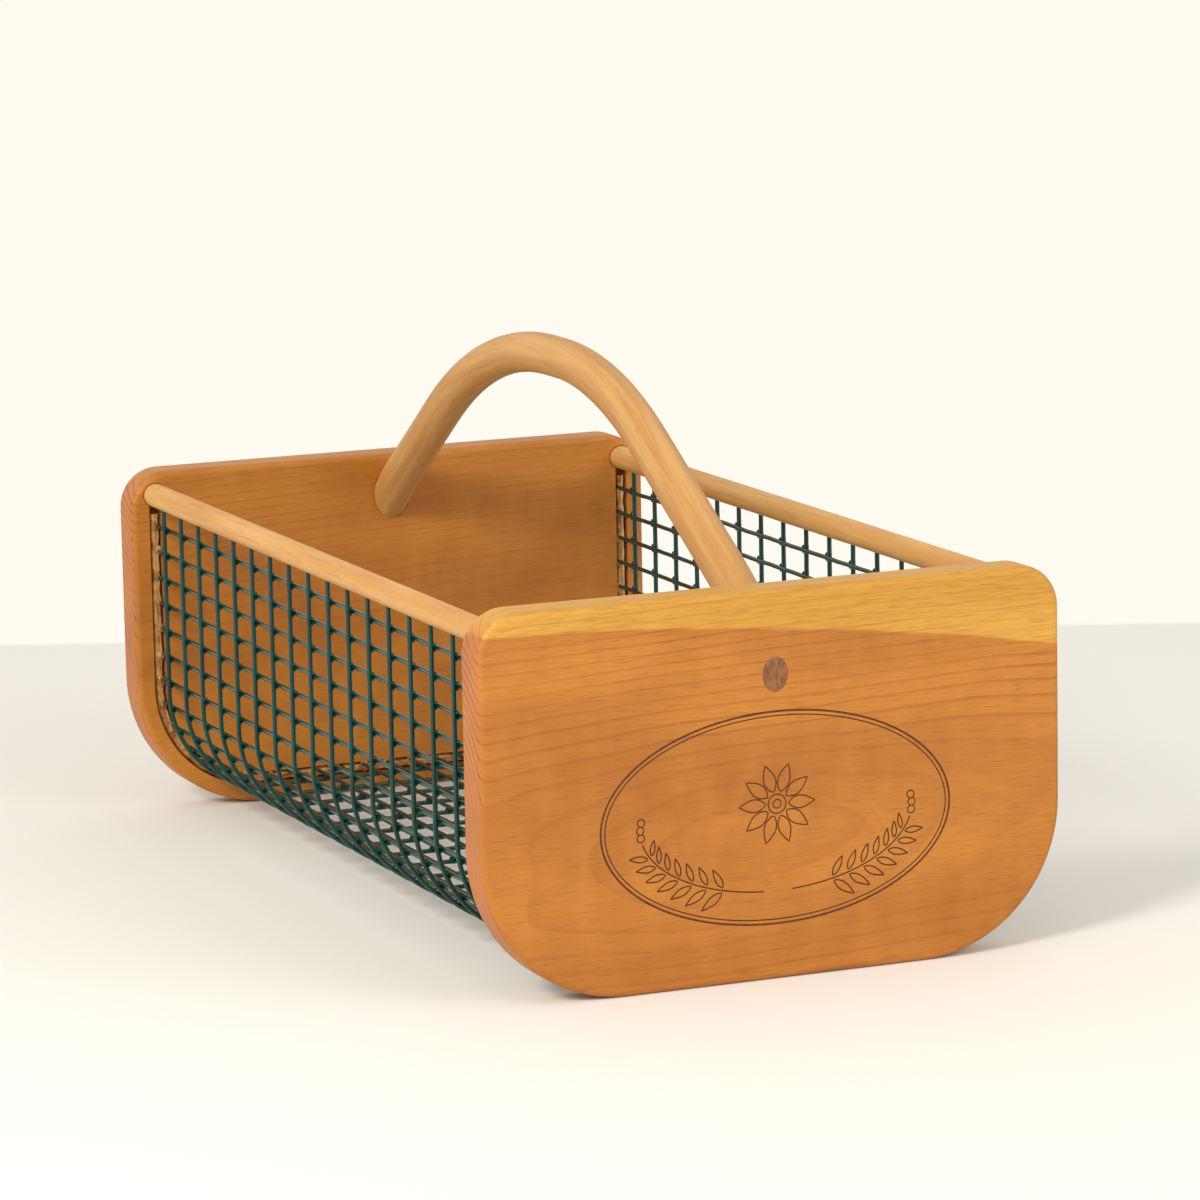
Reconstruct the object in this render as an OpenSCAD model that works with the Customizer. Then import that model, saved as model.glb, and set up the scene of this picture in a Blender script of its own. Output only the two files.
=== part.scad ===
// Harvest basket: two solid wood end boards, two round side rails, a bent round handle
// and a U-shaped panel of coated welded wire whose edges are glued into grooved boards.
// Millimetres. X runs across the boards, Y along the basket with the front board at -Y,
// Z is up, and the origin is on the ground under the middle of the basket.

/* [End boards] */
// Width of each end board
board_w = 273; // [240:1:320]
// Height of each end board
board_h = 170; // [155:1:200]
// Thickness of each end board
board_t = 20; // [17:0.5:26]
// Radius of the two upper corners
top_corner_r = 19; // [12:1:20]
// Radius of the two lower corners
low_corner_r = 66; // [60:1:70]
// Radius worked on every edge of a board
edge_r = 3; // [1:0.5:4]
// Clear length between the two boards
inside_l = 432; // [395:1:520]

/* [Side rails] */
// Diameter of the round side rails
rail_d = 11.5; // [10:0.5:14]
// Rail axis inward of the hoop wires that it takes from below
rail_offset = 0.9; // [0.3:0.1:1.5]
// Rail axis down from the top of the board
rail_drop = 11.5; // [10:0.5:18]
// Depth of the blind rail sockets in the boards
socket_depth = 10; // [7:0.5:12]
// Depth of the saw kerf under each rail that takes the hoop wires
kerf_depth = 5; // [3:0.5:6]

/* [Handle] */
// Diameter of the bent handle
handle_d = 18.8; // [16:0.2:22]
// Top of the handle above the top of the boards
handle_over = 82.3; // [65:0.1:100]
// Handle axis at a board's inner face, down from the top of the board
entry_drop = 20; // [18:0.5:28]
// Length of the straight stretch in the middle of the handle
crown_flat = 12; // [4:1:30]
// Bend radius of the crown on the front half
front_crown_r = 200; // [170:1:215]
// Bend radius of the crown on the back half
back_crown_r = 245; // [225:1:270]
// Bend radius where a leg turns down into its board
root_r = 200; // [120:5:260]
// Turn of the front leg near its board
front_root_turn = 10.5; // [4:0.5:14]
// Turn of the back leg near its board
back_root_turn = 6; // [3:0.5:12]
// Diameter of the tenons on the ends of the handle
tenon_d = 11.5; // [9:0.5:13]
// Depth of the tenon shoulder below the inner face of the board
shoulder_depth = 8; // [7:0.5:10]

/* [Wire mesh] */
// Coated diameter of the hoop wires that run round the basket
hoop_d = 2.3; // [1.8:0.1:3]
// Coated diameter of the long wires
long_d = 2.1; // [1.8:0.1:3]
// Spacing of the hoop wires
hoop_pitch = 25.4; // [20:0.2:30]
// Spacing of the long wires, measured round the hoop
long_pitch = 12.7; // [10:0.1:16]
// First hoop wire from the inner face of the front board
first_hoop = 10.4; // [6:0.1:16]
// Hoop axis in from the sides and up from the bottom of the boards
mesh_inset = 11.3; // [10:0.1:14]
// Bend radius of the hoop wires
hoop_bend_r = 51; // [46:1:56]

/* [Grooves and adhesive] */
// Width of the U-shaped groove in each board
groove_w = 6; // [5.2:0.1:7]
// Depth of the groove
groove_depth = 8; // [6:0.5:10]
// Length of wire let into each groove
wire_bite = 6.5; // [4:0.5:7]
// How far the adhesive stays below the face of the board
bead_below = 0.8; // [0.4:0.1:1.5]

/* [Hidden] */
$fn = 96;
eps = 0.01;
// Clearance round a rail in its socket and round the handle in its bore
socket_gap = 0.25;
// Clearance round a tenon, and at the end of a rail, a shoulder or a wire
fit_gap = 0.15;
// Gap between crossing wires, where the coatings of the two are fused
weld_gap = 0.04;
// Gap between the adhesive and what it fills
bead_gap = 0.05;
// Room between the long wires and the inner wall of the groove
groove_clear = 0.4;
// Free height above the first long wire below a rail
wire_margin = 6;
// Closest that the last hoop comes to the back board
hoop_margin = 6;

hoop_x = board_w / 2 - mesh_inset;
rail_x = hoop_x - rail_offset;
rail_z = board_h - rail_drop;
rail_under = rail_z - rail_d / 2;
face_y = inside_l / 2;

// Hoops: their axis is a U that follows the outline of the boards
hoop_top = rail_under + kerf_depth - fit_gap;
hoop_count = 1 + floor((inside_l - first_hoop - hoop_margin) / hoop_pitch);
floor_half = hoop_x - hoop_bend_r;
side_low = mesh_inset + hoop_bend_r;
bend_len = hoop_bend_r * PI / 2;

// Long wires: inside the hoops, spread evenly to both sides of the middle of the floor
layer_step = (hoop_d + long_d) / 2 + weld_gap;
half_round = floor_half + bend_len + rail_under - wire_margin - side_low;
pair_count = floor(half_round / long_pitch + 0.5);
function pair_place(s) =
    let (a = (s - floor_half) / bend_len * 90, r = hoop_bend_r - layer_step)
    s < floor_half ? [s, mesh_inset + layer_step]
    : a < 90 ? [floor_half + r * sin(a), side_low - r * cos(a)]
    : [hoop_x - layer_step, side_low + s - floor_half - bend_len];

// Walls of the groove, as distances in from the hoop axis
groove_in = layer_step + long_d / 2 + groove_clear;
groove_out = groove_in - groove_w;

// Handle: each half leaves the crown, runs straight and turns down into its board
entry_z = board_h - entry_drop;
crown_z = board_h + handle_over - handle_d / 2;
rise = crown_z - entry_z;
half_reach = (inside_l - crown_flat) / 2;
function leg_angle(crown_r, turn) =
    atan2(rise - crown_r, half_reach)
    + asin((crown_r - root_r * (1 - cos(turn))) / norm([half_reach, rise - crown_r]));
front_entry = leg_angle(front_crown_r, front_root_turn) + front_root_turn;
back_entry = leg_angle(back_crown_r, back_root_turn) + back_root_turn;
bend_steps = 14;
root_steps = 4;
handle_sides = 28;
// How far a bore or a tenon runs past the outer face of its board before it is trimmed
overrun = 2 * board_t;

function two_digits(n) = n < 10 ? str("0", n) : str(n);
function hoop_name(i) = str("hoop_wire_", two_digits(i));
function pair_name(i) = str("long_wire_pair_", two_digits(i));

wood = "#cf8a3f";
pale_wood = "#d9a86e";
coated_wire = "#0b5346";
amber = "#b5772b";

// Section of a board from a flat root out to its rounded edge at w
module edge_section(w) {
    translate([0, -board_t / 2]) square([w - edge_r, board_t]);
    translate([0, -board_t / 2 + edge_r]) square([w, board_t - 2 * edge_r]);
    for (side = [-1, 1])
        translate([w - edge_r, side * (board_t / 2 - edge_r)]) circle(edge_r);
}

// Rounded corner of a board, a quarter turn about the origin
module corner(r) {
    rotate_extrude(angle = 90) edge_section(r);
}

// Straight strip along the top of a board, as deep as the corners beside it
module edge_strip(half_l, depth) {
    translate([-half_l, 0, 0]) rotate([90, 0, 90])
        linear_extrude(2 * half_l) edge_section(depth);
}

// Blank of a board lying flat, its width on X and its height on Y
module board_blank() {
    half_w = board_w / 2;
    low_y = low_corner_r;
    top_y = board_h - top_corner_r;
    for (side = [0, 1])
        mirror([side, 0, 0]) {
            translate([0, low_y, 0]) rotate([-90, 0, 0])
                linear_extrude(top_y - low_y) edge_section(half_w);
            translate([half_w - top_corner_r, top_y, 0]) corner(top_corner_r);
            translate([half_w - low_corner_r, low_y, 0]) mirror([0, 1, 0]) corner(low_corner_r);
        }
    translate([0, top_y, 0]) edge_strip(half_w - top_corner_r, top_corner_r);
    translate([0, low_y, 0]) mirror([0, 1, 0]) edge_strip(half_w - low_corner_r, low_corner_r);
}

// Filled U, its outline inset from the hoop axis, open at height top
module u_fill(inset, top) {
    half = hoop_x - inset;
    low = mesh_inset + inset;
    r = hoop_bend_r - inset;
    translate([-half, low + r]) square([2 * half, top - low - r]);
    translate([r - half, low]) square([2 * (half - r), r]);
    for (side = [-1, 1]) translate([side * (half - r), low + r]) circle(r);
}

// U-shaped band between the walls of the groove, drawn in by a gap
module u_band(gap, top) {
    difference() {
        u_fill(groove_out + gap, top);
        u_fill(groove_in - gap, top + eps);
    }
}

// Extrudes an upright X-Z outline into the front board, from depth start to depth stop
module into_front(start, stop) {
    translate([0, -face_y - start, 0]) rotate([90, 0, 0]) linear_extrude(stop - start) children();
}

// Bore or peg on the handle's axis in the front board, from one depth to another
module on_entry_axis(entry, d, start, stop) {
    translate([0, -face_y, entry_z]) rotate([90 + entry, 0, 0])
        translate([0, 0, start]) cylinder(d = d, h = stop - start);
}

// End board at the front, with its groove, its rail sockets and the bore for the handle
module end_board(entry) {
    shoulder = shoulder_depth / cos(entry);
    difference() {
        translate([0, -face_y - board_t / 2, 0]) rotate([90, 0, 0]) board_blank();
        into_front(-eps, groove_depth) u_band(0, rail_z);
        for (side = [-1, 1])
            into_front(-eps, socket_depth)
                translate([side * rail_x, rail_z]) circle(d = rail_d + 2 * socket_gap);
        on_entry_axis(entry, handle_d + 2 * socket_gap, -board_t, shoulder);
        on_entry_axis(entry, tenon_d + 2 * fit_gap, -board_t, board_t + overrun);
    }
}

module front_end_board() {
    color(wood) end_board(front_entry);
}

module back_end_board() {
    color(wood) mirror([0, 1, 0]) end_board(back_entry);
}

// Rail on the right side, kerfed underneath along its length
module side_rail() {
    half_l = face_y + socket_depth - fit_gap;
    kerf_w = hoop_d + 2 * fit_gap;
    color(pale_wood) difference() {
        translate([rail_x, half_l, rail_z]) rotate([90, 0, 0]) cylinder(d = rail_d, h = 2 * half_l);
        translate([hoop_x - kerf_w / 2, -half_l - eps, rail_under - rail_d])
            cube([kerf_w, 2 * (half_l + eps), rail_d + kerf_depth]);
    }
}

module right_side_rail() {
    side_rail();
}

module left_side_rail() {
    mirror([1, 0, 0]) side_rail();
}

// Round tube of diameter d along a path in the plane X = 0, given as rows of [y, z, slope]
module tube(path, d, sides) {
    last = len(path) - 1;
    rings = [
        for (p = path, i = [0:sides - 1])
            let (a = 360 * i / sides, out = d / 2 * sin(a))
            [d / 2 * cos(a), p[0] - out * sin(p[2]), p[1] + out * cos(p[2])]
    ];
    skin = [
        for (k = [0:last - 1], i = [0:sides - 1])
            let (next = (i + 1) % sides, at = k * sides)
            [at + i, at + next, at + sides + next, at + sides + i]
    ];
    start = [for (i = [sides - 1:-1:0]) i];
    stop = [for (i = [0:sides - 1]) last * sides + i];
    polyhedron(rings, concat([start, stop], skin), convexity = 4);
}

// Path of half the handle, from the crown out to the tenon shoulder in the board
function half_path(crown_r, turn) =
    let (
        m = leg_angle(crown_r, turn),
        entry = m + turn,
        depth = shoulder_depth - fit_gap * cos(entry)
    )
    concat(
        [
            for (i = [0:bend_steps])
                let (a = m * i / bend_steps)
                [crown_flat / 2 + crown_r * sin(a), crown_z - crown_r * (1 - cos(a)), a]
        ],
        [
            for (i = [0:root_steps])
                let (a = m + turn * i / root_steps)
                [face_y - root_r * (sin(entry) - sin(a)), entry_z + root_r * (cos(a) - cos(entry)), a]
        ],
        [[face_y + depth, entry_z - depth * tan(entry), entry]]
    );

// Whole handle, front to back: the front half is the same path run backwards and mirrored
module handle() {
    front = half_path(front_crown_r, front_root_turn);
    back = half_path(back_crown_r, back_root_turn);
    last = len(front) - 1;
    path = concat([for (i = [last:-1:0]) [-front[i][0], front[i][1], front[i][2]]],
        [for (p = back) [p[0], p[1], -p[2]]]);
    color(pale_wood) difference() {
        union() {
            tube(path, handle_d, handle_sides);
            tenon(front_entry);
            mirror([0, 1, 0]) tenon(back_entry);
        }
        for (side = [0, 1]) mirror([0, side, 0]) beyond_board();
    }
}

// Tenon on the front end of the handle, longer than the board is thick
module tenon(entry) {
    on_entry_axis(entry, tenon_d, 0, board_t + overrun);
}

// Block that trims a tenon flush with the outer face of its board
module beyond_board() {
    size = 2 * overrun;
    translate([-size / 2, -face_y - board_t - size, entry_z - size]) cube(size);
}

// Adhesive in the groove of the front board, cast round the ends of the long wires
module adhesive_bead() {
    color(amber) difference() {
        into_front(bead_below, groove_depth - bead_gap) u_band(bead_gap, rail_under - bead_gap);
        into_front(0, wire_bite + bead_gap) each_long_wire() circle(d = long_d + 2 * bead_gap);
    }
}

module front_adhesive_bead() {
    adhesive_bead();
}

module back_adhesive_bead() {
    mirror([0, 1, 0]) adhesive_bead();
}

// Places its children at the section of every long wire, in an upright X-Z outline
module each_long_wire() {
    for (i = [1:pair_count], side = [-1, 1]) {
        place = pair_place((pair_count - i + 0.5) * long_pitch);
        translate([side * place[0], place[1]]) children();
    }
}

// Hoop wire number i, counted from the front: two legs, two bends and the floor stretch
module hoop_wire(i) {
    y = -face_y + first_hoop + (i - 1) * hoop_pitch;
    color(coated_wire) translate([0, y, 0]) {
        translate([-floor_half, 0, mesh_inset]) rotate([0, 90, 0])
            cylinder(d = hoop_d, h = 2 * floor_half);
        for (side = [0, 1])
            mirror([side, 0, 0]) {
                translate([hoop_x, 0, side_low]) cylinder(d = hoop_d, h = hoop_top - side_low);
                translate([floor_half, 0, side_low]) rotate([-90, 0, 0])
                    rotate_extrude(angle = 90) translate([hoop_bend_r, 0]) circle(d = hoop_d);
            }
    }
}

// The two long wires at the same height, number i counted from the rails down
module long_wire_pair(i) {
    place = pair_place((pair_count - i + 0.5) * long_pitch);
    half_l = face_y + wire_bite;
    for (side = [-1, 1])
        color(coated_wire) translate([side * place[0], half_l, place[1]])
            rotate([90, 0, 0]) cylinder(d = long_d, h = 2 * half_l);
}

front_end_board();
back_end_board();
left_side_rail();
right_side_rail();
handle();
front_adhesive_bead();
back_adhesive_bead();
for (i = [1:hoop_count]) hoop_wire(i);
for (i = [1:pair_count]) long_wire_pair(i);
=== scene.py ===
"""Looks of the garden basket: solid wood boards, bent round handle, coated wire mesh."""
import math
import random

import bmesh
import bpy
from mathutils import Matrix, Vector, noise


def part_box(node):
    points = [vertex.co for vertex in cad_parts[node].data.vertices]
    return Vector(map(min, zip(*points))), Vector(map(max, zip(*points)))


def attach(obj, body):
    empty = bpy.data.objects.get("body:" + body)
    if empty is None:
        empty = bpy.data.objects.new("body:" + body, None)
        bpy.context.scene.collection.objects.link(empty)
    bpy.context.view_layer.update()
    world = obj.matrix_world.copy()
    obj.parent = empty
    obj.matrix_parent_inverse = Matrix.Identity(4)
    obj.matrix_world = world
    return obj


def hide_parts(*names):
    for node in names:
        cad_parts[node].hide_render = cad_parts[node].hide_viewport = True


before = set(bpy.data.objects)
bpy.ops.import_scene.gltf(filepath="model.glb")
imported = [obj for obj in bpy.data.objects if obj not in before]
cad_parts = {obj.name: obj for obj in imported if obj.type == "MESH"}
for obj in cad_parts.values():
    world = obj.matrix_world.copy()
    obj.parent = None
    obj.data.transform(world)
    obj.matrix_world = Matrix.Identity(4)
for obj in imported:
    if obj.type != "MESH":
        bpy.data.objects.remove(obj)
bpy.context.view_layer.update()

MM = 0.001

# The basket's width runs along x and its length along y
ACROSS = Vector((1, 0, 0))
ALONG = Vector((0, 1, 0))

# Sizes read from the frame
FRONT_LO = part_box("front_end_board")[0]
BACK_LO, BACK_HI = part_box("back_end_board")
HOOP_LO, HOOP_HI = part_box("hoop_wire_01")
PAIR_LO, PAIR_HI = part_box("long_wire_pair_01")
FACE_Y = BACK_LO.y
OUTER_Y = BACK_HI.y
BOARD_H = BACK_HI.z
HOOP_R = (HOOP_HI.y - HOOP_LO.y) / 2
LONG_R = (PAIR_HI.z - PAIR_LO.z) / 2
HOOP_X = HOOP_HI.x - HOOP_R
HOOP_FLOOR = HOOP_LO.z + HOOP_R
LAYER_STEP = HOOP_X - (PAIR_HI.x - LONG_R)
HOOP_NAMES = sorted(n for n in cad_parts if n.startswith("hoop_wire"))
PAIR_NAMES = sorted(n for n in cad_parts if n.startswith("long_wire_pair"))

# Construction sizes, as in the part's source
MESH_PITCH = 12.7 * MM
HOOP_BEND = 51 * MM
RAIL_R = 11.5 * MM / 2
RAIL_X = 124.3 * MM
RAIL_Z = 158.5 * MM
SOCKET_DEPTH = 10 * MM
HANDLE_R = 18.8 * MM / 2
HANDLE_TOP = BOARD_H + 82.3 * MM
ENTRY_Z = BOARD_H - 20 * MM
CROWN_FLAT = 12 * MM
FRONT_CROWN_R = 200 * MM
BACK_CROWN_R = 245 * MM
ROOT_R = 200 * MM
FRONT_ROOT_TURN = math.radians(10.5)
BACK_ROOT_TURN = math.radians(6)
TENON_R = 11.5 * MM / 2
SHOULDER_DEPTH = 8 * MM

# The U of the hoops: half its flat floor, the length of a bend and the height where a bend ends
FLOOR_HALF = HOOP_X - HOOP_BEND
BEND_RUN = HOOP_BEND * math.pi / 2
BEND_TOP = HOOP_FLOOR + HOOP_BEND

# The rails' narrow ends, and how the handle's tenons are cut
RAIL_END_GAP = 0.2 * MM
RAIL_NECK = 0.45 * MM
NECK_GAP = 0.2 * MM
NECK_STEP = 0.1 * MM
RAIL_SHARE = 1 - 0.006
HANDLE_STEP = 6 * MM
TENON_OVERLAP = 2 * MM
TENON_SUNK = 0.05 * MM

# How far the round pieces and wires stray from true, and how quickly along a metre
RAIL_WAVE = 0.008
RAIL_WAVE_RATE = 30
HANDLE_WAVE = 0.012
HANDLE_WAVE_RATE = 22
HOOP_SWAY = 0.25 * MM
HOOP_SWAY_RATE = 45
LONG_LIFT = 0.28 * MM
LONG_LIFT_RATE = 60
LONG_DRIFT = 0.35 * MM
LONG_DRIFT_RATE = 50

# The coat of a hoop is thinner between the welds and swells at them, where a pillow fills the corners
THIN_SHARE = 0.97
SWELL_SHARE = 0.1
WELD_SWELL = 1.7 * MM
WELD_FILLET = 1.2 * MM
WELD_REACH = 0.8
WELD_LAYERS = ((-0.75, 0.72), (-0.35, 0.95), (0.35, 0.95), (0.75, 0.72))

# Adhesive: the bead in a groove, and the ranges that its drops are drawn from
GROOVE_MID = 0.7 * MM
BEAD_R = 2.2 * MM
BEAD_DEPTH = 2.6 * MM
BEAD_WANDER = 0.7 * MM
BEAD_WANDER_RATE = 120
BEAD_UNEVEN = 0.22
BEAD_END = 6 * MM
DROP_LIFT = (0.2 * MM, 1.4 * MM)
DROP_SLIDE = (-1.2 * MM, 1.2 * MM)
DROP_DEPTH = (0.1 * MM, 1.1 * MM)
DROP_R = (1.5 * MM, 2.4 * MM)
DROP_FLATNESS = 0.8
DROP_HEIGHT = (0.9, 1.5)
DROP_UNEVEN = 0.2

# Growth rings of a board, round a pith that runs behind its front
RING_PITCH = 3.9 * MM
RING_UNEVEN = 0.7
RING_WARP = 9 * MM
RING_RIPPLE = 1.4 * MM
RING_SLANT = 0.03
PITH_DEPTH = 62 * MM
PITH_BOW = 0.105
PITH_LEAN = -0.04
BOW_ROUND = 18 * MM
BOW_HEIGHT = 34 * MM

# Lower edge of the sapwood: its height in the middle of the board, its slope there and how it curves
SAPWOOD_Z = 152.8 * MM
SAPWOOD_SLOPE = -0.0974
SAPWOOD_CURVE = -0.288
SAPWOOD_RIPPLE = 3 * MM
SAPWOOD_SOFT = 0.9 * MM

# Generic engraving: an oval double border, two leafy sprigs and a flower
OVAL_Z = 70.9 * MM
OVAL_HALF_W = 82.2 * MM
OVAL_HALF_H = 46.3 * MM
BORDER_GAP = 1.9 * MM
SPRIG_HALF_W = 64 * MM
SPRIG_HALF_H = 32 * MM
STEM_FROM = -84
STEM_TURN = 74
LEAF_SPREAD = math.radians(48)
LEAF_STALK = 1.5 * MM
LEAF_LENGTH = 13 * MM
LEAF_SHRINK = 0.55 * MM
INNER_LEAF_SHARE = 0.8
LEAF_SLIMNESS = 0.3
BERRY_R = 1.7 * MM
FLOWER_RISE = 6 * MM
FLOWER_R = 4.2 * MM
FLOWER_EYE_R = 1.9 * MM
PETALS = 10
PETAL_START = 5.4 * MM
PETAL_LENGTH = 12.5 * MM
PETAL_WIDTH = 5.6 * MM

# Depth of every engraved line, and the widths of the lines
LINE_DEPTH = 0.35 * MM
BORDER_LINE = 0.95 * MM
INNER_LINE = 0.6 * MM
SPRIG_LINE = 0.7 * MM
FINE_LINE = 0.65 * MM
FINEST_LINE = 0.55 * MM

# Camera, as found from the photograph, its lens and sensor in millimetres
EYE = Vector((-974.6, -2339.4, 574.5)) * MM
YAW, PITCH, ROLL = (math.radians(a) for a in (23.03, 9.98, -1.08))
LENS = 166.2
SENSOR = 36.0
NEAR_CLIP = 50 * MM

# Floor, and a point of the line where it meets the plain wall
FLOOR_SIZE = 14
FLOOR_DROP = 0.1 * MM
FAR_LINE = Vector((255, 560, 0)) * MM
FAR_SOFT = (4 * MM, 10 * MM)

# Light from all round
SKY_COLOUR = (1.0, 0.99, 0.965, 1)
SKY_STRENGTH = 0.74

# Faces that meet at more than this are shaded with an edge between them
EDGE_ANGLE = math.radians(40)
BOARD_EDGE_ANGLE = math.radians(25)


def linear(r, g, b):
    """Colour as the eye sees it, 0 to 255, as a linear shader colour by the sRGB curve."""
    def channel(c):
        c = c / 255
        return c / 12.92 if c <= 0.04045 else ((c + 0.055) / 1.055) ** 2.4
    return (channel(r), channel(g), channel(b), 1)


PAPER = linear(255, 251, 241)


def waver(*place):
    """Smooth noise from -1 to 1 at a place."""
    return noise.noise(Vector(place))


class Net:
    """A material and short ways to add nodes to it."""

    def __init__(self, name):
        self.material = bpy.data.materials.new(name)
        self.material.use_nodes = True
        self.tree = self.material.node_tree
        self.shader = self.tree.nodes["Principled BSDF"]

    def node(self, kind, **settings):
        made = self.tree.nodes.new(kind)
        for key, value in settings.items():
            setattr(made, key, value)
        return made

    def feed(self, socket, value):
        if isinstance(value, bpy.types.NodeSocket):
            self.tree.links.new(value, socket)
        else:
            socket.default_value = value

    def set(self, **values):
        for key, value in values.items():
            self.feed(self.shader.inputs[key.replace("_", " ")], value)

    def place(self, kind="Object"):
        return self.node("ShaderNodeTexCoord").outputs[kind]

    def split(self, vector):
        """The x, y and z of a vector."""
        made = self.node("ShaderNodeSeparateXYZ")
        self.feed(made.inputs[0], vector)
        return made.outputs

    def math(self, operation, *values):
        made = self.node("ShaderNodeMath", operation=operation)
        for socket, value in zip(made.inputs, values):
            self.feed(socket, value)
        return made.outputs[0]

    def add(self, a, b):
        return self.math("ADD", a, b)

    def less(self, a, b):
        return self.math("SUBTRACT", a, b)

    def times(self, a, b):
        return self.math("MULTIPLY", a, b)

    def between(self, share, low, high):
        """Goes from low to high as the share goes from 0 to 1."""
        return self.add(self.times(share, high - low), low)

    def swing(self, cloud, size):
        """Noise round 0.5 turned into a swing round zero."""
        return self.times(self.less(cloud, 0.5), size)

    def smooth(self, value, low, high):
        made = self.node("ShaderNodeMapRange", interpolation_type="SMOOTHSTEP")
        self.feed(made.inputs["Value"], value)
        self.feed(made.inputs["From Min"], low)
        self.feed(made.inputs["From Max"], high)
        return made.outputs["Result"]

    def noise(self, vector, stretch, shift=(0, 0, 0), detail=2, roughness=0.5):
        """Noise of stretch swings to a metre along each axis."""
        scaled = self.node("ShaderNodeMapping")
        self.feed(scaled.inputs["Vector"], vector)
        scaled.inputs["Scale"].default_value = stretch
        scaled.inputs["Location"].default_value = shift
        made = self.node("ShaderNodeTexNoise")
        self.feed(made.inputs["Vector"], scaled.outputs[0])
        made.inputs["Scale"].default_value = 1
        made.inputs["Detail"].default_value = detail
        made.inputs["Roughness"].default_value = roughness
        return made.outputs["Fac"]

    def mix(self, factor, a, b):
        made = self.node("ShaderNodeMix", data_type="RGBA")
        self.feed(made.inputs["Factor"], factor)
        sockets = [s for s in made.inputs if s.type == "RGBA"]
        self.feed(sockets[0], a)
        self.feed(sockets[1], b)
        return next(s for s in made.outputs if s.type == "RGBA")

    def tint(self, colour, share, most, other):
        """The colour with another mixed in, as much as most where the share is 1."""
        return self.mix(self.times(share, most), colour, other)

    def bump(self, height, distance, strength=1.0):
        made = self.node("ShaderNodeBump")
        made.inputs["Distance"].default_value = distance
        made.inputs["Strength"].default_value = strength
        self.feed(made.inputs["Height"], height)
        self.feed(self.shader.inputs["Normal"], made.outputs[0])


def ring_count(net, place, face_y, ring_centre, heart_x, ripple, shift):
    """Growth rings between a point of a board and the pith that runs behind the board's front."""
    x, y, z = net.split(place)
    warp = net.noise(place, (6, 14, 14), shift)
    wander = net.add(net.swing(warp, RING_WARP), net.swing(ripple, RING_RIPPLE))
    along = net.less(x, heart_x)
    bow = net.math("SQRT", net.add(net.times(along, along), BOW_ROUND ** 2))
    pith = net.add(net.times(bow, PITH_BOW), net.times(along, PITH_LEAN))
    level = net.math("DIVIDE", net.less(z, ring_centre), BOW_HEIGHT)
    falloff = net.math("DIVIDE", 1, net.add(net.times(level, level), 1))
    pith = net.add(net.add(net.times(pith, falloff), PITH_DEPTH), wander)
    depth = net.less(pith, net.less(y, face_y))
    height = net.less(net.less(z, ring_centre), net.times(x, RING_SLANT))
    radius = net.math("SQRT", net.add(net.times(depth, depth), net.times(height, height)))
    uneven = net.times(net.noise(place, (2, 30, 30), shift, 1), RING_UNEVEN)
    return net.add(net.math("DIVIDE", radius, RING_PITCH), uneven)


def late_wood(net, place, rings, ring_centre, shift):
    """Dark late wood of each ring: it builds up slowly, ends sharply and is weak at the ring centre."""
    part = net.math("FRACT", rings)
    late = net.times(net.smooth(part, 0.55, 0.94), net.less(1, net.smooth(part, 0.95, 1.0)))
    late = net.math("POWER", late, 2.2)
    strength = net.smooth(net.noise(place, (9, 40, 40), shift), 0.32, 0.62)
    late = net.times(late, net.between(strength, 0.4, 1))
    height = net.split(place)[2]
    away = net.smooth(net.math("ABSOLUTE", net.less(height, ring_centre)), 20 * MM, 60 * MM)
    return net.times(late, net.between(away, 0.45, 1))


def sapwood_share(net, place, ripple):
    """One in the pale band above the curved edge of the sapwood, otherwise zero."""
    axes = net.split(place)
    x, z = axes[0], axes[2]
    edge = net.times(net.times(x, x), SAPWOOD_CURVE)
    edge = net.add(net.add(edge, net.times(x, SAPWOOD_SLOPE)), SAPWOOD_Z)
    edge = net.add(edge, net.swing(ripple, SAPWOOD_RIPPLE))
    return net.smooth(net.less(z, edge), -SAPWOOD_SOFT, SAPWOOD_SOFT)


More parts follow.
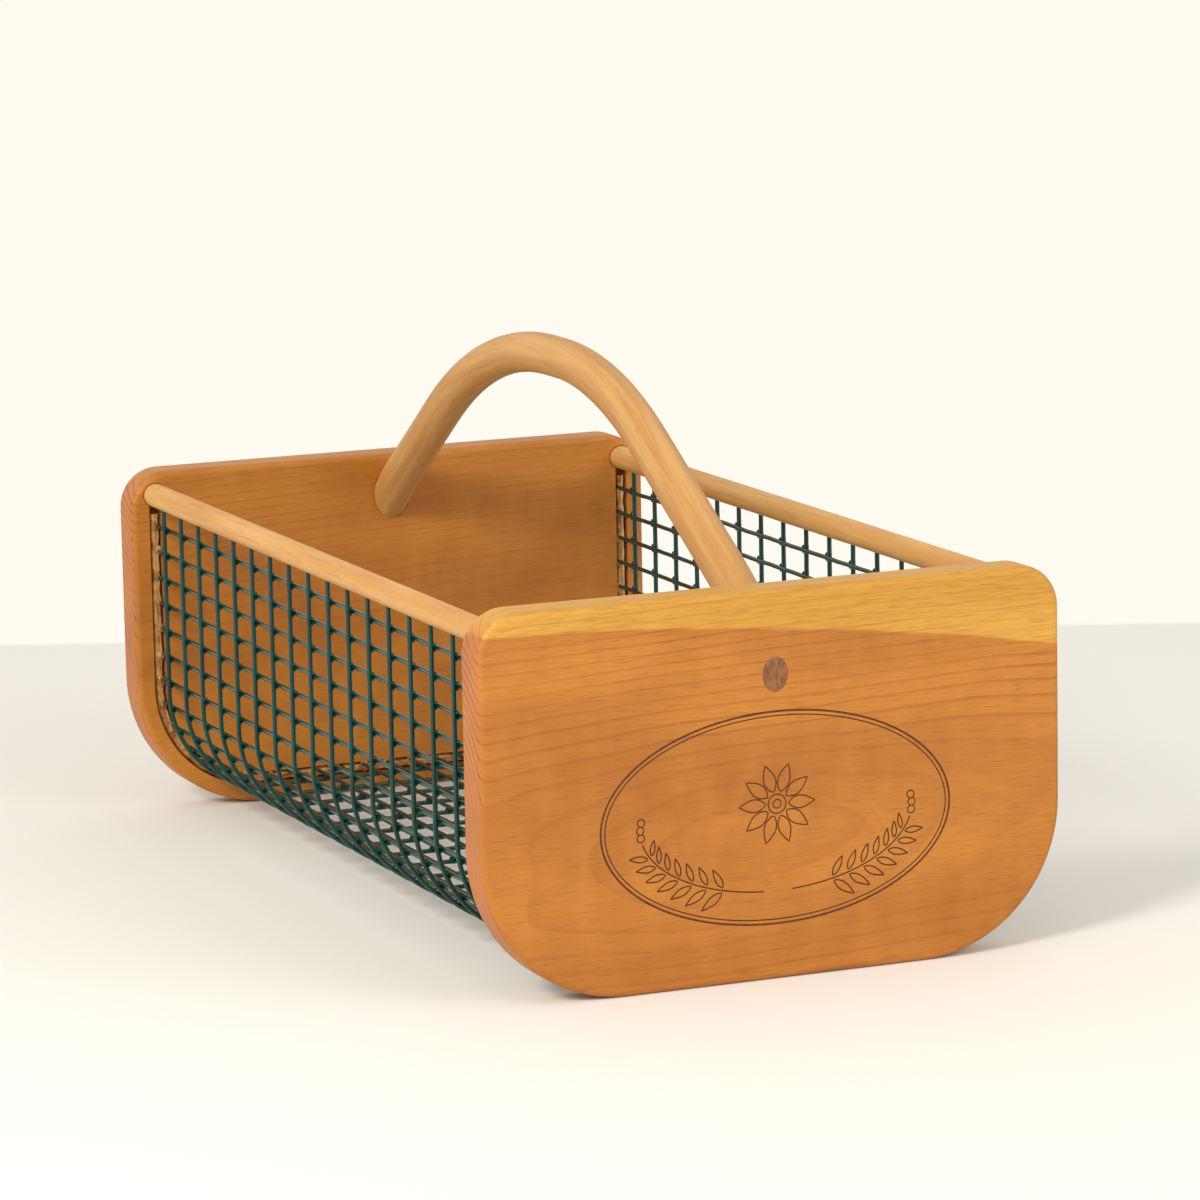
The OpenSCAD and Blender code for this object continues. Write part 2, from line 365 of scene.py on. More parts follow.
def board_wood(name, face_y, ring_centre, heart_x, ring_strength, sapwood, seed):
    """Flat-sawn board: growth rings, a sapwood band, fibres and reddish end grain."""
    net = Net(name)
    place = net.place()
    shift = (seed, seed * 2.3, seed * 3.1)
    ripple = net.noise(place, (18, 60, 60), shift)
    rings = ring_count(net, place, face_y, ring_centre, heart_x, ripple, shift)
    late = late_wood(net, place, rings, ring_centre, shift)
    fibre = net.noise(place, (90, 1700, 1700), shift, 3, 0.6)
    fleck = net.smooth(net.noise(place, (85, 1500, 1500), shift, 1), 0.6, 0.72)
    cloud = net.smooth(net.noise(place, (5, 26, 26), shift), 0.3, 0.7)
    figure = net.smooth(net.noise(place, (60, 16, 22), shift), 0.35, 0.75)
    colour = net.mix(cloud, linear(170, 102, 29), linear(195, 125, 43))
    colour = net.tint(colour, figure, 0.3, linear(205, 135, 53))
    if sapwood:
        pale = sapwood_share(net, place, ripple)
        pale_colour = net.mix(cloud, linear(205, 149, 53), linear(218, 163, 67))
        colour = net.mix(pale, colour, pale_colour)
        late = net.times(late, net.less(1, net.times(pale, 0.55)))
    colour = net.tint(colour, late, ring_strength, linear(152, 82, 30))
    colour = net.tint(colour, net.smooth(fibre, 0.42, 0.64), 0.26, linear(158, 90, 30))
    colour = net.tint(colour, fleck, 0.28, linear(120, 64, 26))
    sideways = net.split(net.node("ShaderNodeNewGeometry").outputs["Normal"])[0]
    end_grain = net.smooth(net.math("ABSOLUTE", sideways), 0.55, 0.9)
    colour = net.tint(colour, end_grain, 0.45, linear(192, 114, 62))
    colour = net.tint(colour, net.times(end_grain, late), 0.85, linear(132, 56, 34))
    net.set(Base_Color=colour, Roughness=net.between(fibre, 0.40, 0.56), Specular_IOR_Level=0.38)
    relief = net.less(net.times(fibre, -0.5), net.times(fleck, 0.6))
    net.bump(net.less(relief, net.times(late, 0.3)), 0.12 * MM, 0.8)
    return net.material


def round_wood(name, light, dark, seed):
    """Sanded dowel: its grain runs along the piece, by the u and v that the sweep gives it."""
    net = Net(name)
    place = net.place("UV")
    shift = (seed, seed * 1.7, 0)
    broad = net.noise(place, (9, 130, 1), shift, 3)
    streak = net.noise(place, (22, 520, 1), shift, 3, 0.6)
    fibre = net.noise(place, (60, 2400, 1), shift, 2, 0.6)
    fleck = net.smooth(net.noise(place, (160, 3000, 1), shift, 1), 0.66, 0.75)
    colour = net.mix(net.smooth(broad, 0.34, 0.66), light, dark)
    colour = net.tint(colour, net.smooth(streak, 0.5, 0.72), 0.32, linear(168, 104, 58))
    colour = net.tint(colour, net.smooth(fibre, 0.4, 0.75), 0.14, linear(150, 95, 55))
    colour = net.tint(colour, fleck, 0.3, linear(120, 72, 40))
    net.set(Base_Color=colour, Roughness=net.between(fibre, 0.46, 0.61), Specular_IOR_Level=0.34)
    net.bump(net.less(net.times(fibre, -0.6), fleck), 0.10 * MM, 0.8)
    return net.material


def end_grain_wood():
    """Sawn end of a tenon: tight growth lines and dark pores."""
    net = Net("tenon_end_grain")
    place = net.place()
    lines = net.noise(place, (900, 900, 260), (3, 5, 7))
    pores = net.noise(place, (3800, 3800, 3000), (1, 2, 3), 1)
    colour = net.mix(net.smooth(lines, 0.35, 0.65), linear(118, 72, 38), linear(148, 96, 54))
    colour = net.tint(colour, net.smooth(pores, 0.55, 0.7), 0.5, linear(96, 56, 30))
    net.set(Base_Color=colour, Roughness=0.6)
    net.bump(pores, 0.08 * MM)
    return net.material


def burnt_wood():
    """Floor of the engraved lines, scorched brown."""
    net = Net("engraved_line")
    char = net.noise(net.place(), (500, 500, 900), (4, 4, 4))
    colour = net.mix(net.smooth(char, 0.3, 0.7), linear(78, 38, 15), linear(108, 56, 22))
    net.set(Base_Color=colour, Roughness=0.75)
    net.bump(char, 0.05 * MM)
    return net.material


def coated_wire():
    """Dark green plastic coat with a faint dip texture."""
    net = Net("green_coated_wire")
    place = net.place()
    drift = net.noise(place, (60, 60, 60), (2, 2, 2))
    skin = net.noise(place, (700, 700, 700), (6, 6, 6))
    colour = net.mix(net.smooth(drift, 0.3, 0.7), linear(0, 48, 41), linear(2, 62, 53))
    net.set(Base_Color=colour, Roughness=net.between(skin, 0.15, 0.25), Specular_IOR_Level=0.4)
    net.set(Coat_Weight=0.1, Coat_Roughness=0.06)
    net.bump(skin, 0.05 * MM, 0.5)
    return net.material


def amber_adhesive():
    """Dried adhesive, amber and partly clear."""
    net = Net("amber_adhesive")
    drift = net.noise(net.place(), (190, 190, 190), (8, 8, 8))
    colour = net.mix(net.smooth(drift, 0.3, 0.7), linear(150, 88, 26), linear(222, 168, 82))
    net.set(Base_Color=colour, Roughness=0.16, Transmission_Weight=0.35, IOR=1.49, Coat_Weight=0.4)
    net.bump(drift, 0.3 * MM)
    return net.material


class Shape:
    """Vertices, faces and their u, v gathered for one mesh object."""

    def __init__(self):
        self.verts = []
        self.faces = []
        self.uvs = []
        self.slots = []

    def add(self, verts, faces, uvs=None, slot=0):
        start = len(self.verts)
        self.verts += verts
        for k, face in enumerate(faces):
            self.faces.append([start + i for i in face])
            self.uvs.append(uvs[k] if uvs else [(0, 0)] * len(face))
            self.slots.append(slot)

    def build(self, name, *materials):
        mesh = bpy.data.meshes.new(name)
        mesh.from_pydata([tuple(v) for v in self.verts], [], self.faces)
        layer = mesh.uv_layers.new(name="grain")
        flat = [uv for face in self.uvs for uv in face]
        layer.data.foreach_set("uv", [c for uv in flat for c in uv])
        for material in materials:
            mesh.materials.append(material)
        mesh.polygons.foreach_set("material_index", self.slots)
        mesh.validate()
        mesh.shade_smooth()
        mesh.set_sharp_from_angle(angle=EDGE_ANGLE)
        made = bpy.data.objects.new(name, mesh)
        bpy.context.collection.objects.link(made)
        return made


def ring_faces(rings, sides, closed=False):
    """Faces between rings of corners that follow each other, as corner numbers."""
    faces = []
    for k in range(rings if closed else rings - 1):
        n = (k + 1) % rings
        for i in range(sides):
            j = (i + 1) % sides
            faces.append([k * sides + i, k * sides + j, n * sides + j, n * sides + i])
    return faces


def end_faces(rings, sides):
    """The two faces that close the first and the last ring."""
    last = (rings - 1) * sides
    return [list(range(sides))[::-1], [last + i for i in range(sides)]]


def sweep(shape, path, radius, sides, side_axis, cap_slot=0, end_y=None):
    """Adds a tube along a path that lies nearly square to side_axis. end_y is a plane that cuts its end."""
    radii = [radius(k) if callable(radius) else radius for k in range(len(path))]
    lengths = [0]
    rings = []
    for k, point in enumerate(path):
        before = path[max(k - 1, 0)]
        after = path[min(k + 1, len(path) - 1)]
        ahead = (after - before).normalized()
        if k:
            lengths.append(lengths[-1] + (point - before).length)
        side = (side_axis - ahead * side_axis.dot(ahead)).normalized()
        up = side.cross(ahead)
        ring = []
        for i in range(sides):
            a = 2 * math.pi * i / sides
            spot = point + side * (radii[k] * math.cos(a)) + up * (radii[k] * math.sin(a))
            if end_y is not None and k == len(path) - 1:
                spot = spot + ahead * ((end_y - spot.y) / ahead.y)
            ring.append(spot)
        rings.append(ring)
    turn = 2 * math.pi * radii[0] / sides
    uvs = []
    for k in range(len(path) - 1):
        for i in range(sides):
            uvs.append([(lengths[k], i * turn), (lengths[k], (i + 1) * turn),
                        (lengths[k + 1], (i + 1) * turn), (lengths[k + 1], i * turn)])
    shape.add([v for ring in rings for v in ring], ring_faces(len(path), sides), uvs)
    shape.add(rings[0], [list(range(sides))[::-1]], None, cap_slot)
    shape.add(rings[-1], [list(range(sides))], None, cap_slot)


def hand_over(piece, slot, *nodes):
    """Makes a piece ride with the basket and stand for its CAD nodes."""
    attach(piece, "root")
    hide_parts(*nodes)


def leg_angle(crown_r, turn):
    """Slope of a straight leg between its crown bend and its root bend."""
    rise = HANDLE_TOP - HANDLE_R - ENTRY_Z
    reach = FACE_Y - CROWN_FLAT / 2
    slant = math.hypot(reach, rise - crown_r)
    return math.atan2(rise - crown_r, reach) + math.asin((crown_r - ROOT_R * (1 - math.cos(turn))) / slant)


def tenon_point(side, depth, entry):
    """Point on the axis of a slanted tenon, so deep behind the board's inner face."""
    return Vector((0, side * (FACE_Y + depth), ENTRY_Z - depth * math.tan(entry)))


def half_handle(crown_r, turn):
    """Points of half the handle, from the crown to the tenon shoulder, and its entry angle."""
    leg = leg_angle(crown_r, turn)
    entry = leg + turn
    crown_z = HANDLE_TOP - HANDLE_R
    crown_steps, root_steps = 24, 8
    points = []
    for i in range(crown_steps + 1):
        a = leg * i / crown_steps
        y = CROWN_FLAT / 2 + crown_r * math.sin(a)
        points.append(Vector((0, y, crown_z - crown_r * (1 - math.cos(a)))))
    for i in range(root_steps + 1):
        a = leg + turn * i / root_steps
        y = FACE_Y - ROOT_R * (math.sin(entry) - math.sin(a))
        points.append(Vector((0, y, ENTRY_Z + ROOT_R * (math.cos(a) - math.cos(entry)))))
    points.append(tenon_point(1, SHOULDER_DEPTH, entry))
    return points, entry


def refined(path, step):
    """The same path with points about a step apart."""
    fine = [path[0]]
    for point in path[1:]:
        start = fine[-1]
        count = max(1, round((point - start).length / step))
        fine += [start.lerp(point, i / count) for i in range(1, count + 1)]
    return fine


def make_handle(wood, end_wood):
    """Bent handle with a tenon at each end, sawn flush with the board's outer face."""
    front, front_entry = half_handle(FRONT_CROWN_R, FRONT_ROOT_TURN)
    back, back_entry = half_handle(BACK_CROWN_R, BACK_ROOT_TURN)
    path = refined([Vector((0, -p.y, p.z)) for p in reversed(front)] + back, HANDLE_STEP)

    def radius(k):
        return HANDLE_R * (1 + HANDLE_WAVE * waver(0, path[k].y * HANDLE_WAVE_RATE, 3.3))

    shape = Shape()
    sweep(shape, path, radius, 64, ACROSS)
    end_slot = 1
    for side, entry in ((-1, front_entry), (1, back_entry)):
        start = tenon_point(side, SHOULDER_DEPTH - TENON_OVERLAP, entry)
        stop = tenon_point(side, OUTER_Y - FACE_Y, entry)
        sweep(shape, [start, stop], TENON_R, 48, ACROSS, end_slot, side * (OUTER_Y - TENON_SUNK))
    hand_over(shape.build("bent_handle", wood, end_wood), "round_wood", "handle")


def make_rail(side, wood, node):
    """Round side rail that narrows where it enters the boards."""
    count = 60
    neck_y = FACE_Y - NECK_GAP
    entry = [neck_y - NECK_STEP, neck_y + NECK_STEP, FACE_Y + SOCKET_DEPTH - RAIL_END_GAP]
    half = [FACE_Y * i / count for i in range(count)] + entry
    path = [Vector((side * RAIL_X, y, RAIL_Z)) for y in [-y for y in half[:0:-1]] + half]

    def radius(k):
        y = path[k].y
        neck = RAIL_NECK if abs(y) > neck_y else 0
        return RAIL_R * (RAIL_SHARE + RAIL_WAVE * waver(side, y * RAIL_WAVE_RATE, 1.7)) - neck

    shape = Shape()
    sweep(shape, path, radius, 48, ACROSS)
    hand_over(shape.build(node + "_dowel", wood), "round_wood", node)


def hoop_point(s, inset):
    """Place on the U of the hoops, s from the middle of its floor and drawn in by inset, and the way in."""
    side = 1 if s >= 0 else -1
    run = abs(s)
    if run < FLOOR_HALF:
        return Vector((side * run, 0, HOOP_FLOOR + inset)), Vector((0, 0, 1))
    if run < FLOOR_HALF + BEND_RUN:
        a = (run - FLOOR_HALF) / HOOP_BEND
        r = HOOP_BEND - inset
        spot = Vector((side * (FLOOR_HALF + r * math.sin(a)), 0, BEND_TOP - r * math.cos(a)))
        return spot, Vector((-side * math.sin(a), 0, math.cos(a)))
    spot = Vector((side * (HOOP_X - inset), 0, BEND_TOP + run - FLOOR_HALF - BEND_RUN))
    return spot, Vector((-side, 0, 0))


def add_weld(shape, centre, inward):
    """Pillow of coating round a weld: four concave corners between the crossing wires."""
    arms = (HOOP_R * WELD_REACH, LONG_R * WELD_REACH)
    corner_steps = 4
    outline = []
    for quarter in range(4):
        turn = math.pi / 2 * quarter
        a, b = arms if quarter % 2 == 0 else arms[::-1]
        for j in range(corner_steps + 1):
            phi = math.pi + math.pi / 2 * j / corner_steps
            u = a + WELD_FILLET + WELD_FILLET * math.cos(phi)
            v = b + WELD_FILLET + WELD_FILLET * math.sin(phi)
            outline.append((u * math.cos(turn) - v * math.sin(turn), u * math.sin(turn) + v * math.cos(turn)))
    across = ALONG.cross(inward)
    verts = []
    for height, scale in WELD_LAYERS:
        for u, v in outline:
            verts.append(centre + across * (u * scale) + ALONG * (v * scale) + inward * (height * LONG_R))
    layers, sides = len(WELD_LAYERS), len(outline)
    shape.add(verts, ring_faces(layers, sides) + end_faces(layers, sides))


def long_wire_places():
    """For every pair of long wires, how far along the U it lies, from the box of its node."""
    places = {}
    for name in PAIR_NAMES:
        lo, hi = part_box(name)
        x = hi.x - LONG_R
        z = (lo.z + hi.z) / 2
        if z >= BEND_TOP:
            places[name] = FLOOR_HALF + BEND_RUN + z - BEND_TOP
        elif x > FLOOR_HALF:
            places[name] = FLOOR_HALF + HOOP_BEND * math.atan2(x - FLOOR_HALF, BEND_TOP - z)
        else:
            places[name] = x
    return places


def make_hoop(name, y, places, coat):
    """Hoop wire with its fused coating at every long wire that it crosses."""
    span = FLOOR_HALF + BEND_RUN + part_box(name)[1].z - BEND_TOP
    count = 400
    stations = [-span + 2 * span * i / count for i in range(count + 1)]
    path = []
    for s in stations:
        sway = HOOP_SWAY * waver(s * HOOP_SWAY_RATE, y * 40, 0)
        path.append(hoop_point(s, 0)[0] + ALONG * (y + sway))

    def radius(k):
        away = min(abs(abs(stations[k]) - place) for place in places.values())
        return HOOP_R * (THIN_SHARE + SWELL_SHARE * math.exp(-(away / WELD_SWELL) ** 2))

    shape = Shape()
    sweep(shape, path, radius, 12, ALONG)
    for place in places.values():
        for side in (-1, 1):
            spot, inward = hoop_point(side * place, LAYER_STEP / 2)
            add_weld(shape, spot + ALONG * y, inward)
    hand_over(shape.build(name + "_coated", coat), "coated_wire", name)


def make_pair(name, place, hoop_ys, coat):
    """The two long wires of one level, each bowed a little between the hoops."""
    lo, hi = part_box(name)
    count = 140
    shape = Shape()
    for side in (-1, 1):
        spot, inward = hoop_point(side * place, LAYER_STEP)
        across = ALONG.cross(inward)
        path = []
        for i in range(count + 1):
            y = lo.y + (hi.y - lo.y) * i / count
            free = min(min(abs(y - h) for h in hoop_ys) / MESH_PITCH, 1)
            lift = LONG_LIFT * free * waver(y * LONG_LIFT_RATE, place * 90, side)
            drift = LONG_DRIFT * free * waver(y * LONG_DRIFT_RATE, place * 70, side + 7)
            path.append(spot + inward * lift + across * drift + ALONG * y)
        sweep(shape, path, LONG_R, 12, inward)
    hand_over(shape.build(name + "_coated", coat), "coated_wire", name)


def add_drop(shape, centre, radii, twist):
    """Rounded drop: a small sphere pulled to three radii and roughened."""
    rows, columns = 8, 12
    verts = [centre + Vector((0, 0, -radii[2]))]
    for i in range(1, rows):
        a = math.pi * i / rows - math.pi / 2
        for j in range(columns):
            b = 2 * math.pi * j / columns
            out = Vector((math.cos(a) * math.cos(b), math.cos(a) * math.sin(b), math.sin(a)))
            grow = 1 + DROP_UNEVEN * waver(*(out * 1.6 + Vector((twist, twist, 0))))
            verts.append(centre + Vector((out.x * radii[0], out.y * radii[1], out.z * radii[2])) * grow)
    verts.append(centre + Vector((0, 0, radii[2])))
    top = 1 + (rows - 2) * columns
    faces = []
    for j in range(columns):
        k = (j + 1) % columns
        faces.append([0, 1 + k, 1 + j])
        faces.append([top + j, top + k, len(verts) - 1])
        for i in range(rows - 2):
            a = 1 + i * columns
            faces.append([a + j, a + k, a + columns + k, a + columns + j])
    shape.add(verts, faces)


def make_adhesive(side, node, places, adhesive):
    """Adhesive in the groove of one board, with a drop round the end of every long wire."""
    rng = random.Random(11 if side < 0 else 23)
    span = max(places.values()) + BEAD_END
    count = 260
    path = []
    for i in range(count + 1):
        s = -span + 2 * span * i / count
        wander = BEAD_WANDER * waver(s * BEAD_WANDER_RATE, side * 5, 0)
        path.append(hoop_point(s, GROOVE_MID)[0] + ALONG * (side * (FACE_Y + BEAD_DEPTH + wander)))

    def radius(k):
        return BEAD_R * (1 + BEAD_UNEVEN * waver(k * 0.45, side, 2.2))

    shape = Shape()
    sweep(shape, path, radius, 14, ALONG)
    for place in places.values():
        for half in (-1, 1):
            spot, inward = hoop_point(half * place, LAYER_STEP - rng.uniform(*DROP_LIFT))
            slide = ALONG.cross(inward) * rng.uniform(*DROP_SLIDE)
            depth = rng.uniform(*DROP_DEPTH)
            centre = spot + slide + ALONG * (side * (FACE_Y + depth))
            size = rng.uniform(*DROP_R)
            radii = (size, size * DROP_FLATNESS, size * rng.uniform(*DROP_HEIGHT))
            add_drop(shape, centre, radii, rng.uniform(0, 9))
    hand_over(shape.build(node + "_drops", adhesive), "adhesive", node)


def turned(x, z, turn):
    """A point of the face turned round its origin."""
    return x * math.cos(turn) - z * math.sin(turn), x * math.sin(turn) + z * math.cos(turn)


def oval(half_w, half_h, centre, count):
    """Closed oval on the face, as x and z."""
    points = []
    for i in range(count):
        a = 2 * math.pi * i / count
        points.append((centre[0] + half_w * math.cos(a), centre[1] + half_h * math.sin(a)))
    return points


def leaf(base, length, width, turn):
    """Pointed leaf as a closed line, its base at one end."""
    count = 14
    points = []
    for i in range(2 * count):
        t = i / count if i <= count else 2 - i / count
        sign = 1 if i <= count else -1
        x, z = turned(length * t, sign * width / 2 * math.sin(math.pi * t ** 0.8), turn)
        points.append((base[0] + x, base[1] + z))
    return points


def sprig_point(side, degrees):
    """Point on the curve that a sprig's stem and berries follow."""
    a = math.radians(degrees)
    return side * SPRIG_HALF_W * math.cos(a), OVAL_Z + SPRIG_HALF_H * math.sin(a)


def sprig_lines(side):
    """Stem of one sprig, its leaves in pairs that shrink upwards, and three berries."""
    stem_steps = 30
    stem = [sprig_point(side, STEM_FROM + STEM_TURN * i / stem_steps) for i in range(stem_steps + 1)]
    lines = [(stem, False, SPRIG_LINE)]
    for pair in range(2, 9):
        x, z = stem[3 * pair + 1]
        next_x, next_z = stem[3 * pair + 2]
        heading = math.atan2(next_z - z, next_x - x)
        for flank in (-1, 1):
            turn = heading + flank * LEAF_SPREAD
            base = (x + LEAF_STALK * math.cos(turn), z + LEAF_STALK * math.sin(turn))
            size = (LEAF_LENGTH - LEAF_SHRINK * pair) * (1 if side * flank < 0 else INNER_LEAF_SHARE)
            lines.append((leaf(base, size, size * LEAF_SLIMNESS, turn), True, SPRIG_LINE))
    for degrees in (-5, 1, 7):
        lines.append((oval(BERRY_R, BERRY_R, sprig_point(side, degrees), 18), True, FINE_LINE))
    return lines


def flower_lines():
    """Two rings and a wreath of petals."""
    x, z = 0, OVAL_Z + FLOWER_RISE
    lines = [
        (oval(FLOWER_R, FLOWER_R, (x, z), 28), True, FINE_LINE),
        (oval(FLOWER_EYE_R, FLOWER_EYE_R, (x, z), 18), True, FINEST_LINE),
    ]
    for k in range(PETALS):
        turn = 2 * math.pi * k / PETALS
        base = (x + PETAL_START * math.cos(turn), z + PETAL_START * math.sin(turn))
        lines.append((leaf(base, PETAL_LENGTH, PETAL_WIDTH, turn), True, FINE_LINE))
    return lines


def engraving_lines():
    """Every engraved line: its points as x and z, whether it is closed, and its width."""
    centre = (0, OVAL_Z)
    border = [
        (oval(OVAL_HALF_W, OVAL_HALF_H, centre, 160), True, BORDER_LINE),
        (oval(OVAL_HALF_W - BORDER_GAP, OVAL_HALF_H - BORDER_GAP, centre, 160), True, INNER_LINE),
    ]
    return border + sprig_lines(-1) + sprig_lines(1) + flower_lines()


def add_cutter(shape, points, closed, width):
    """Tube along one engraved line, so thick that its lowest part cuts the line's width and depth."""
    r = (width * width / 4 + LINE_DEPTH ** 2) / (2 * LINE_DEPTH)
    y = FRONT_LO.y + LINE_DEPTH - r
    path = [Vector((x, y, z)) for x, z in points]
    count = len(path)
    sides = 8
    verts = []
    for k, point in enumerate(path):
        before = path[k - 1] if closed or k else point
        after = path[(k + 1) % count] if closed or k < count - 1 else point
        ahead = (after - before).normalized()
        flat = ahead.cross(ALONG).normalized()
        for i in range(sides):
            a = 2 * math.pi * (i + 0.5) / sides
            verts.append(point + flat * (r * math.cos(a)) + ALONG * (r * math.sin(a)))
    faces = ring_faces(count, sides, closed)
    shape.add(verts, faces if closed else faces + end_faces(count, sides))


def engraving_tool(material):
    """Solid that cuts the engraved lines out of the front board's outer face."""
    shape = Shape()
    for points, closed, width in engraving_lines():
        add_cutter(shape, points, closed, width)
    tool = shape.build("engraving_tool", material)
    work = bmesh.new()
    work.from_mesh(tool.data)
    bmesh.ops.recalc_face_normals(work, faces=work.faces)
    work.to_mesh(tool.data)
    work.free()
    return tool


def plain_front_board(wood):
    """Copy of the front board's solid, its corners joined so that it shades smoothly."""
    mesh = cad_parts["front_end_board"].data.copy()
    mesh.materials.clear()
    mesh.materials.append(wood)
    work = bmesh.new()
    work.from_mesh(mesh)
    bmesh.ops.remove_doubles(work, verts=work.verts, dist=0.001 * MM)
    work.to_mesh(mesh)
    work.free()
    mesh.shade_smooth()
    mesh.set_sharp_from_angle(angle=BOARD_EDGE_ANGLE)
    board = bpy.data.objects.new("engraved_front_board", mesh)
    bpy.context.collection.objects.link(board)
    return board


def make_front_board(wood, burnt):
    """Front board with the engraving cut into its outer face."""
    board = plain_front_board(wood)
    tool = engraving_tool(burnt)
    cut = board.modifiers.new("engraving", "BOOLEAN")
    cut.operation = "DIFFERENCE"
    cut.solver = "EXACT"
    cut.object = tool
    cut.use_self = True
    cut.material_mode = "TRANSFER"
    flatten = board.modifiers.new("flat_faces", "WEIGHTED_NORMAL")
    flatten.weight = 100
    flatten.keep_sharp = True
    shown = bpy.context.evaluated_depsgraph_get()
    result = bpy.data.meshes.new_from_object(board.evaluated_get(shown))
    board.modifiers.clear()
    board.data = result
    bpy.data.objects.remove(tool)
    hand_over(board, "end_board_wood", "front_end_board")


def dress_back_board(wood):
    """The back board keeps its solid and gets its own wood."""
    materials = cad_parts["back_end_board"].data.materials
    materials.clear()
    materials.append(wood)


def make_camera():
    """Camera of the photograph."""
    ahead = Vector((math.sin(YAW) * math.cos(PITCH), math.cos(YAW) * math.cos(PITCH), -math.sin(PITCH)))
    level = Vector((math.cos(YAW), -math.sin(YAW), 0))
    upright = level.cross(ahead)
    right = level * math.cos(ROLL) + upright * math.sin(ROLL)
    up = upright * math.cos(ROLL) - level * math.sin(ROLL)
    data = bpy.data.cameras.new("photo_camera")
    data.lens = LENS
    data.sensor_width = SENSOR
    data.sensor_fit = "HORIZONTAL"
    data.clip_start = NEAR_CLIP
    camera = bpy.data.objects.new("photo_camera", data)
    basis = Matrix((right, up, -ahead)).transposed().to_4x4()
    camera.matrix_world = Matrix.Translation(EYE) @ basis
    bpy.context.collection.objects.link(camera)
    bpy.context.scene.camera = camera


def background_rays(tree):
    """One where a ray comes from the camera, a reflection or a clear surface, otherwise zero."""
    rays = tree.nodes.new("ShaderNodeLightPath")
    total = rays.outputs["Is Camera Ray"]
    for kind in ("Is Glossy Ray", "Is Transmission Ray"):
        joined = tree.nodes.new("ShaderNodeMath")
        joined.operation = "MAXIMUM"
        tree.links.new(total, joined.inputs[0])
        tree.links.new(rays.outputs[kind], joined.inputs[1])
        total = joined.outputs[0]
    return total


def floor_material():
    """Near-white paper that takes the basket's shadow, and the plain wall's colour past its far line."""
    net = Net("paper_floor")
    place = net.place()
    x, y = net.split(place)[:2]
    drift = net.noise(place, (1.5, 1.5, 1.5), detail=1)
    colour = net.mix(drift, linear(241, 237, 228), linear(245, 242, 234))
    net.set(Base_Color=colour, Roughness=0.8, Specular_IOR_Level=0.15)
    away = net.add(net.times(x, math.sin(YAW)), net.times(y, math.cos(YAW)))
    line = FAR_LINE.x * math.sin(YAW) + FAR_LINE.y * math.cos(YAW)
    past = net.smooth(away, line - FAR_SOFT[0], line + FAR_SOFT[1])
    glow = net.node("ShaderNodeEmission")
    glow.inputs["Color"].default_value = PAPER
    blend = net.node("ShaderNodeMixShader")
    net.feed(blend.inputs[0], net.times(past, background_rays(net.tree)))
    net.feed(blend.inputs[1], net.shader.outputs[0])
    net.feed(blend.inputs[2], glow.outputs[0])
    net.feed(net.tree.nodes["Material Output"].inputs["Surface"], blend.outputs[0])
    return net.material


def make_floor():
    """Floor plane, a hair under the basket."""
    half = FLOOR_SIZE / 2
    corners = [(-half, -half), (half, -half), (half, half), (-half, half)]
    shape = Shape()
    shape.add([Vector((x, y, 0)) for x, y in corners], [[0, 1, 2, 3]])
    floor = shape.build("floor", floor_material())
    floor.matrix_world = Matrix.Translation(Vector((0, 0, -FLOOR_DROP)))


def make_lamp(name, place, target, size, watts, colour):
    """Lamp panel that faces its target, in metres."""
    data = bpy.data.lights.new(name, "AREA")
    data.shape = "RECTANGLE"
    data.size, data.size_y = size
    data.energy = watts
    data.color = colour
    lamp = bpy.data.objects.new(name, data)
    lamp.location = place
    lamp.rotation_euler = (Vector(target) - Vector(place)).to_track_quat("-Z", "Y").to_euler()
    bpy.context.collection.objects.link(lamp)


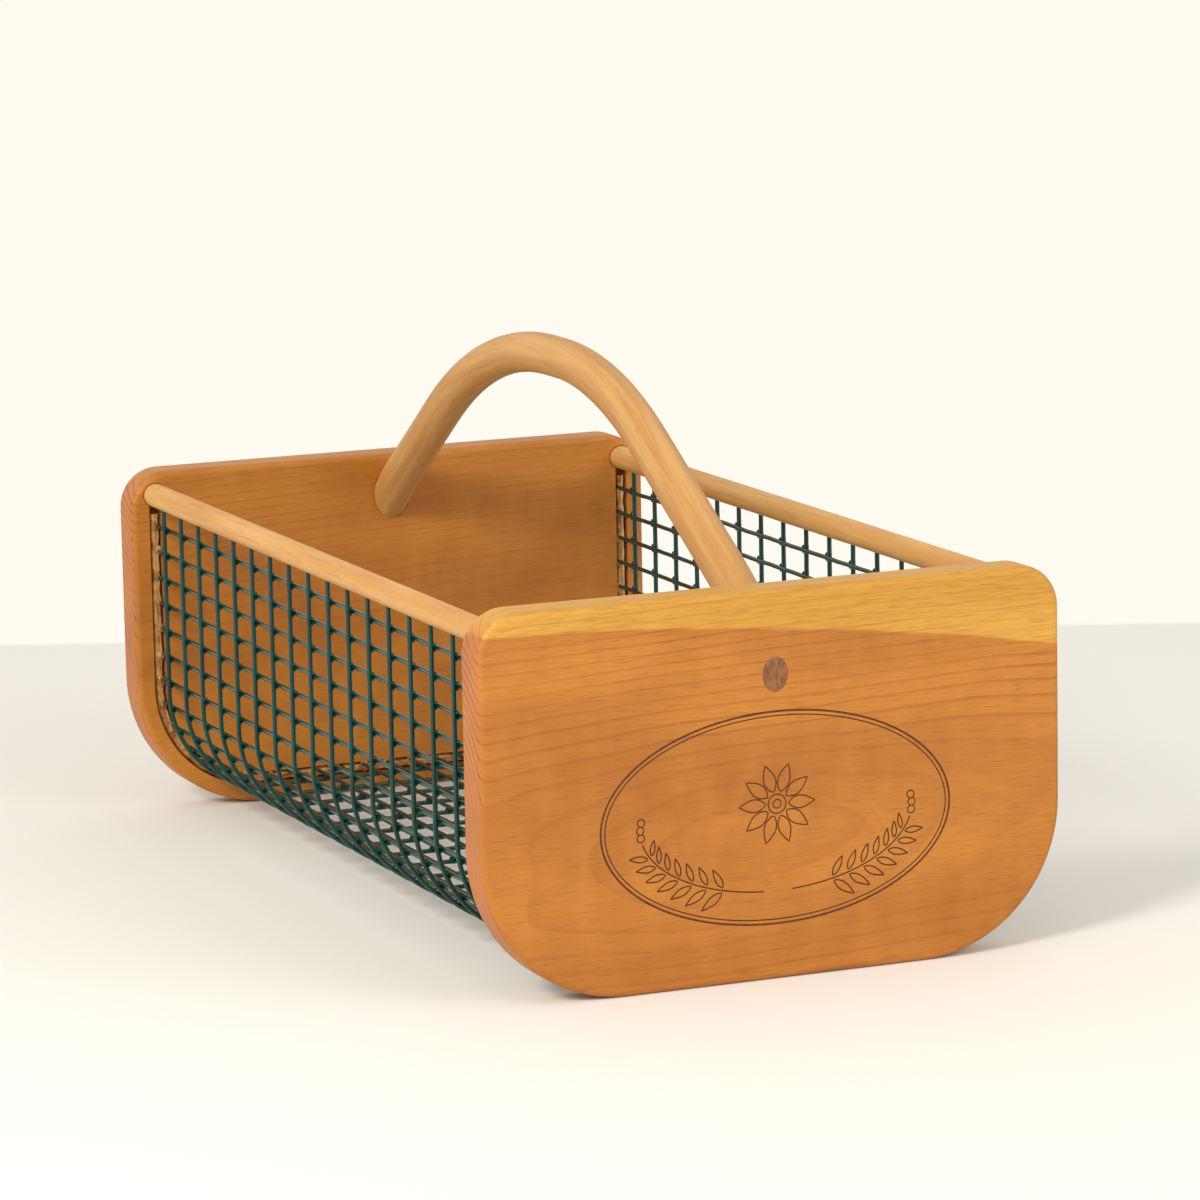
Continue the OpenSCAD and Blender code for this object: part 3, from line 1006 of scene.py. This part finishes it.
def make_sky():
    """Soft light from all round, which the camera and reflections see as the plain wall."""
    world = bpy.data.worlds.new("studio")
    world.use_nodes = True
    tree = world.node_tree
    light = tree.nodes["Background"]
    light.inputs["Color"].default_value = SKY_COLOUR
    light.inputs["Strength"].default_value = SKY_STRENGTH
    seen = tree.nodes.new("ShaderNodeBackground")
    seen.inputs["Color"].default_value = PAPER
    blend = tree.nodes.new("ShaderNodeMixShader")
    tree.links.new(background_rays(tree), blend.inputs[0])
    tree.links.new(light.outputs[0], blend.inputs[1])
    tree.links.new(seen.outputs[0], blend.inputs[2])
    tree.links.new(blend.outputs[0], tree.nodes["World Output"].inputs["Surface"])
    bpy.context.scene.world = world


def make_stage():
    """Camera, floor and lights."""
    make_camera()
    make_floor()
    make_lamp("key", place=(-1.75, -1.3, 1.5), target=(0, 0, 0.08), size=(0.55, 0.55),
              watts=36, colour=(1.0, 0.982, 0.945))
    make_lamp("fill", place=(1.2, -2.2, 1.3), target=(0, 0, 0.1), size=(1.6, 1.2),
              watts=14, colour=(1.0, 0.99, 0.98))
    make_sky()
    bpy.context.scene.view_settings.view_transform = "Standard"


def make_boards():
    """Both end boards, each with its own wood."""
    front_wood = board_wood("front_board_wood", FRONT_LO.y, ring_centre=62 * MM, heart_x=-35 * MM,
                            ring_strength=0.6, sapwood=True, seed=1.7)
    back_wood = board_wood("back_board_wood", BACK_LO.y, ring_centre=40 * MM, heart_x=60 * MM,
                           ring_strength=0.38, sapwood=False, seed=5.2)
    make_front_board(front_wood, burnt_wood())
    dress_back_board(back_wood)


def make_round_pieces():
    """Handle and side rails."""
    handle_wood = round_wood("handle_wood", linear(210, 160, 96), linear(193, 139, 77), 2.1)
    rail_wood = round_wood("rail_wood", linear(221, 170, 100), linear(209, 151, 82), 6.4)
    make_handle(handle_wood, end_grain_wood())
    make_rail(1, rail_wood, "right_side_rail")
    make_rail(-1, rail_wood, "left_side_rail")


def make_mesh_panel():
    """Wire mesh and the adhesive that holds it in the boards."""
    coat = coated_wire()
    adhesive = amber_adhesive()
    places = long_wire_places()
    hoop_ys = []
    for name in HOOP_NAMES:
        lo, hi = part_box(name)
        hoop_ys.append((lo.y + hi.y) / 2)
        make_hoop(name, hoop_ys[-1], places, coat)
    for name in PAIR_NAMES:
        make_pair(name, places[name], hoop_ys, coat)
    make_adhesive(-1, "front_adhesive_bead", places, adhesive)
    make_adhesive(1, "back_adhesive_bead", places, adhesive)


def main():
    make_stage()
    make_boards()
    make_round_pieces()
    make_mesh_panel()


main()
